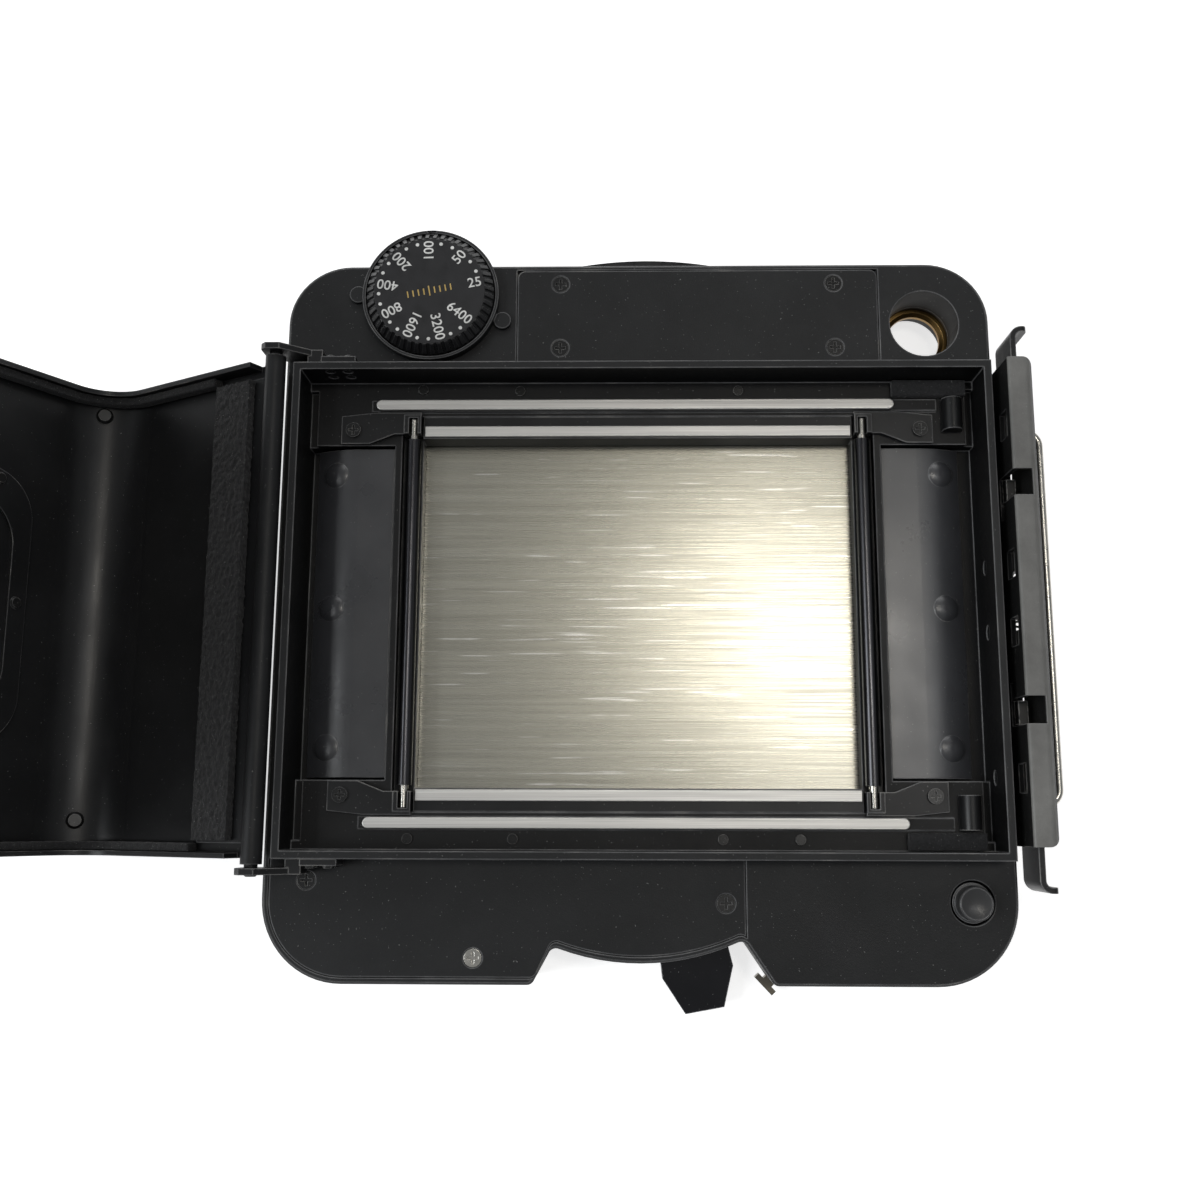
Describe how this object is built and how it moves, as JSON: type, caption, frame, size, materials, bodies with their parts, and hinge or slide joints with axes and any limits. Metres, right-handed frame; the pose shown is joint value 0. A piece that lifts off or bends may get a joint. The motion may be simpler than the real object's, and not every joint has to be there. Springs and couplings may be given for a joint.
{
  "type": "roll-film camera back",
  "caption": "Roll-film back for a 6x7 camera, rear door open on its hinge: film gate with rails and rollers, dark slide with wire bail, latches, film-speed dial.",
  "frame": {"origin": "centre of the film gate, on the front mounting face that the back lies on", "axes": "+X towards the latch and the dark slide's handle, +Y towards the film-speed dial, +Z out of the rear, along the lens axis away from the lens"},
  "size_m": [0.2118, 0.1248, 0.1183],
  "materials": {
    "shell_black": "satin, fine texture",
    "matt_black": "matt",
    "gloss_black": "gloss, worn edges",
    "screw_black": "blackened steel",
    "bright_steel": "bright",
    "rail_steel": "ground",
    "slide_steel": "brushed lengthwise",
    "roller_metal": "black anodised",
    "yellow_zinc": "yellow zinc plating",
    "button_metal": "satin",
    "brass": "satin",
    "black_plastic": "moulded",
    "dial_black": "printed in white",
    "board_green": "circuit board",
    "felt": "black felt",
    "foam": "black foam"
  },
  "bodies": {
    "back": {"body_rivets": "screw_black", "body_shell": "shell_black", "bottom_cover_plate": "shell_black", "bottom_cover_screws": "screw_black", "bracket_screws": "screw_black", "bright_cover_screw": "bright_steel", "button_spring": "bright_steel", "contact_block": "black_plastic", "contact_pins": "brass", "coupling_bush": "brass", "dial_base": "shell_black", "dial_contact_board": "board_green", "floor_felts": "felt", "floor_rivets": "screw_black", "front_plate": "shell_black", "front_plate_screws": "screw_black", "gate_frame": "matt_black", "guide_bosses": "matt_black", "hinge_brackets": "matt_black", "hinge_pin": "shell_black", "index_lug": "bright_steel", "inner_rails": "rail_steel", "latch_channel": "shell_black", "latch_spring": "bright_steel", "left_guide_plate": "matt_black", "lever_pin": "bright_steel", "light_trap_felt": "felt", "mount_catches": "bright_steel", "outer_rails": "rail_steel", "right_guide_plate": "matt_black", "roller_brackets": "matt_black", "roller_pins": "bright_steel", "top_cover_plate": "shell_black", "top_cover_screws": "screw_black"},
    "dial": {"speed_dial": "black_plastic", "dial_face": "dial_black", "dial_shaft": "bright_steel", "dial_brush": "brass"},
    "left_film_roller": {"left_roller": "roller_metal"},
    "right_film_roller": {"right_roller": "roller_metal"},
    "slide": {"dark_slide": "slide_steel", "slide_grip": "slide_steel", "slide_bail": "bright_steel"},
    "upper_latch": {"upper_latch_slide": "yellow_zinc", "upper_finger_tab": "matt_black"},
    "lower_latch": {"lower_latch_slide": "yellow_zinc", "lower_finger_tab": "matt_black"},
    "button": {"lock_button": "button_metal"},
    "lever": {"release_lever": "gloss_black"},
    "door": {"door_barrel": "shell_black", "door_catches": "bright_steel", "door_corner_screws": "screw_black", "door_felts": "felt", "door_liner": "matt_black", "door_rivets": "screw_black", "door_shell": "shell_black", "hinge_foam": "foam", "latch_foam": "foam", "memo_holder": "matt_black"}
  },
  "joints": [
    {"name": "speed_dial_turn", "type": "hinge", "parent": "back", "child": "dial", "pos_m": [-0.0336, 0.0514, 0.0138], "axis": [0, 0, 1], "range_deg": [-238, 74]},
    {"name": "left_roller_turn", "type": "hinge", "parent": "back", "child": "left_film_roller", "pos_m": [-0.0361, 0, 0.0112], "axis": [0, 1, 0], "continuous": true},
    {"name": "right_roller_turn", "type": "hinge", "parent": "back", "child": "right_film_roller", "pos_m": [0.0361, 0, 0.0112], "axis": [0, 1, 0], "continuous": true},
    {"name": "dark_slide_pull", "type": "slide", "parent": "back", "child": "slide", "axis": [1, 0, 0], "range_m": [0, 0.096]},
    {"name": "upper_latch_press", "type": "slide", "parent": "back", "child": "upper_latch", "axis": [0, -1, 0], "range_m": [0, 0.0025], "stiffness_N_per_m": 600, "deforming": ["latch_spring"]},
    {"name": "lower_latch_press", "type": "slide", "parent": "back", "child": "lower_latch", "axis": [0, 1, 0], "range_m": [0, 0.0025], "stiffness_N_per_m": 600, "deforming": ["latch_spring"]},
    {"name": "lock_button_press", "type": "slide", "parent": "back", "child": "button", "axis": [0, 0, -1], "range_m": [0, 0.0015], "stiffness_N_per_m": 800, "deforming": ["button_spring"]},
    {"name": "release_lever_swing", "type": "hinge", "parent": "back", "child": "lever", "pos_m": [0.007, -0.0434, 0.0028], "axis": [0, 0, 1], "range_deg": [-20, 0], "stiffness_Nm_per_rad": 0.02},
    {"name": "door_swing", "type": "hinge", "parent": "back", "child": "door", "pos_m": [-0.0573, 0, 0.0178], "axis": [0, 1, 0], "range_deg": [0, 120]}
  ]
}
